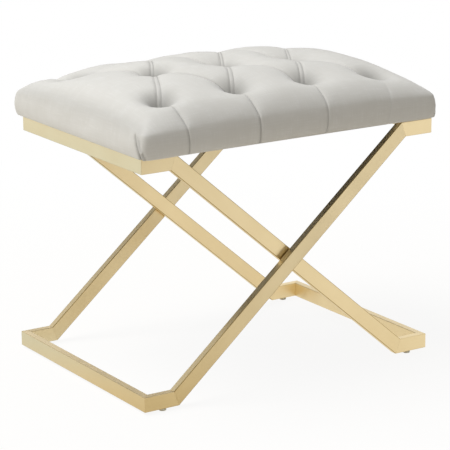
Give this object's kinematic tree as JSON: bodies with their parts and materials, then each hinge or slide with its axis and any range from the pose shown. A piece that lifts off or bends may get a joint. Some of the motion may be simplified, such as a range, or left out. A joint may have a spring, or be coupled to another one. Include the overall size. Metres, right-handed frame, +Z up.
{
  "type": "x frame stool",
  "caption": "Backless stool with a thick diamond-tufted velvet seat on two crossed loops of flat brushed gold tube, with levelling glides.",
  "frame": {"origin": "on the floor, under the middle of the seat", "axes": "+X along the seat to the end that the outer loop carries, +Y across the seat to the far long side, +Z up"},
  "size_m": [0.582, 0.435, 0.5237],
  "materials": {
    "brushed_gold": "steel, brushed along each tube and plated pale brass",
    "steel": "zinc plated",
    "glide_plastic": "moulded, dark grey",
    "velvet": "short pile velvet, pale warm grey, over fibre padding",
    "foam": "open cell foam",
    "plywood": "plywood, unfinished",
    "dust_cover_cloth": "black non-woven cloth"
  },
  "bodies": {
    "stool": {"outer_near_floor_return": "brushed_gold", "outer_near_leg": "brushed_gold", "outer_near_seat_return": "brushed_gold", "outer_seat_bar": "brushed_gold", "outer_far_seat_return": "brushed_gold", "outer_far_leg": "brushed_gold", "outer_far_floor_return": "brushed_gold", "outer_floor_bar": "brushed_gold", "inner_near_floor_return": "brushed_gold", "inner_near_leg": "brushed_gold", "inner_near_seat_return": "brushed_gold", "inner_seat_bar": "brushed_gold", "inner_far_seat_return": "brushed_gold", "inner_far_leg": "brushed_gold", "inner_far_floor_return": "brushed_gold", "inner_floor_bar": "brushed_gold", "crossing_shim_near": "steel", "crossing_shim_far": "steel", "glide_nut_left_near": "steel", "glide_nut_left_far": "steel", "glide_nut_right_near": "steel", "glide_nut_right_far": "steel", "seat_tab_left_near": "brushed_gold", "seat_screw_left_near": "steel", "t_nut_left_near": "steel", "seat_tab_left_far": "brushed_gold", "seat_screw_left_far": "steel", "t_nut_left_far": "steel", "seat_tab_right_near": "brushed_gold", "seat_screw_right_near": "steel", "t_nut_right_near": "steel", "seat_tab_right_far": "brushed_gold", "seat_screw_right_far": "steel", "t_nut_right_far": "steel", "seat_board": "plywood", "dust_cover": "dust_cover_cloth", "foam_core": "foam", "tufted_cover": "velvet", "tuft_button_near_1": "velvet", "tuft_button_near_2": "velvet", "tuft_button_near_3": "velvet", "tuft_button_near_4": "velvet", "tuft_button_middle_1": "velvet", "tuft_button_middle_2": "velvet", "tuft_button_middle_3": "velvet", "tuft_button_far_1": "velvet", "tuft_button_far_2": "velvet", "tuft_button_far_3": "velvet", "tuft_button_far_4": "velvet"},
    "glide_left_near": {"glide_foot_left_near": "glide_plastic", "glide_stud_left_near": "steel"},
    "glide_left_far": {"glide_foot_left_far": "glide_plastic", "glide_stud_left_far": "steel"},
    "glide_right_near": {"glide_foot_right_near": "glide_plastic", "glide_stud_right_near": "steel"},
    "glide_right_far": {"glide_foot_right_far": "glide_plastic", "glide_stud_right_far": "steel"}
  },
  "joints": [
    {"name": "glide_left_near_screw", "type": "slide", "parent": "stool", "child": "glide_left_near", "axis": [0, 0, -1], "range_m": [0, 0.008]},
    {"name": "glide_left_far_screw", "type": "slide", "parent": "stool", "child": "glide_left_far", "axis": [0, 0, -1], "range_m": [0, 0.008]},
    {"name": "glide_right_near_screw", "type": "slide", "parent": "stool", "child": "glide_right_near", "axis": [0, 0, -1], "range_m": [0, 0.008]},
    {"name": "glide_right_far_screw", "type": "slide", "parent": "stool", "child": "glide_right_far", "axis": [0, 0, -1], "range_m": [0, 0.008]}
  ]
}
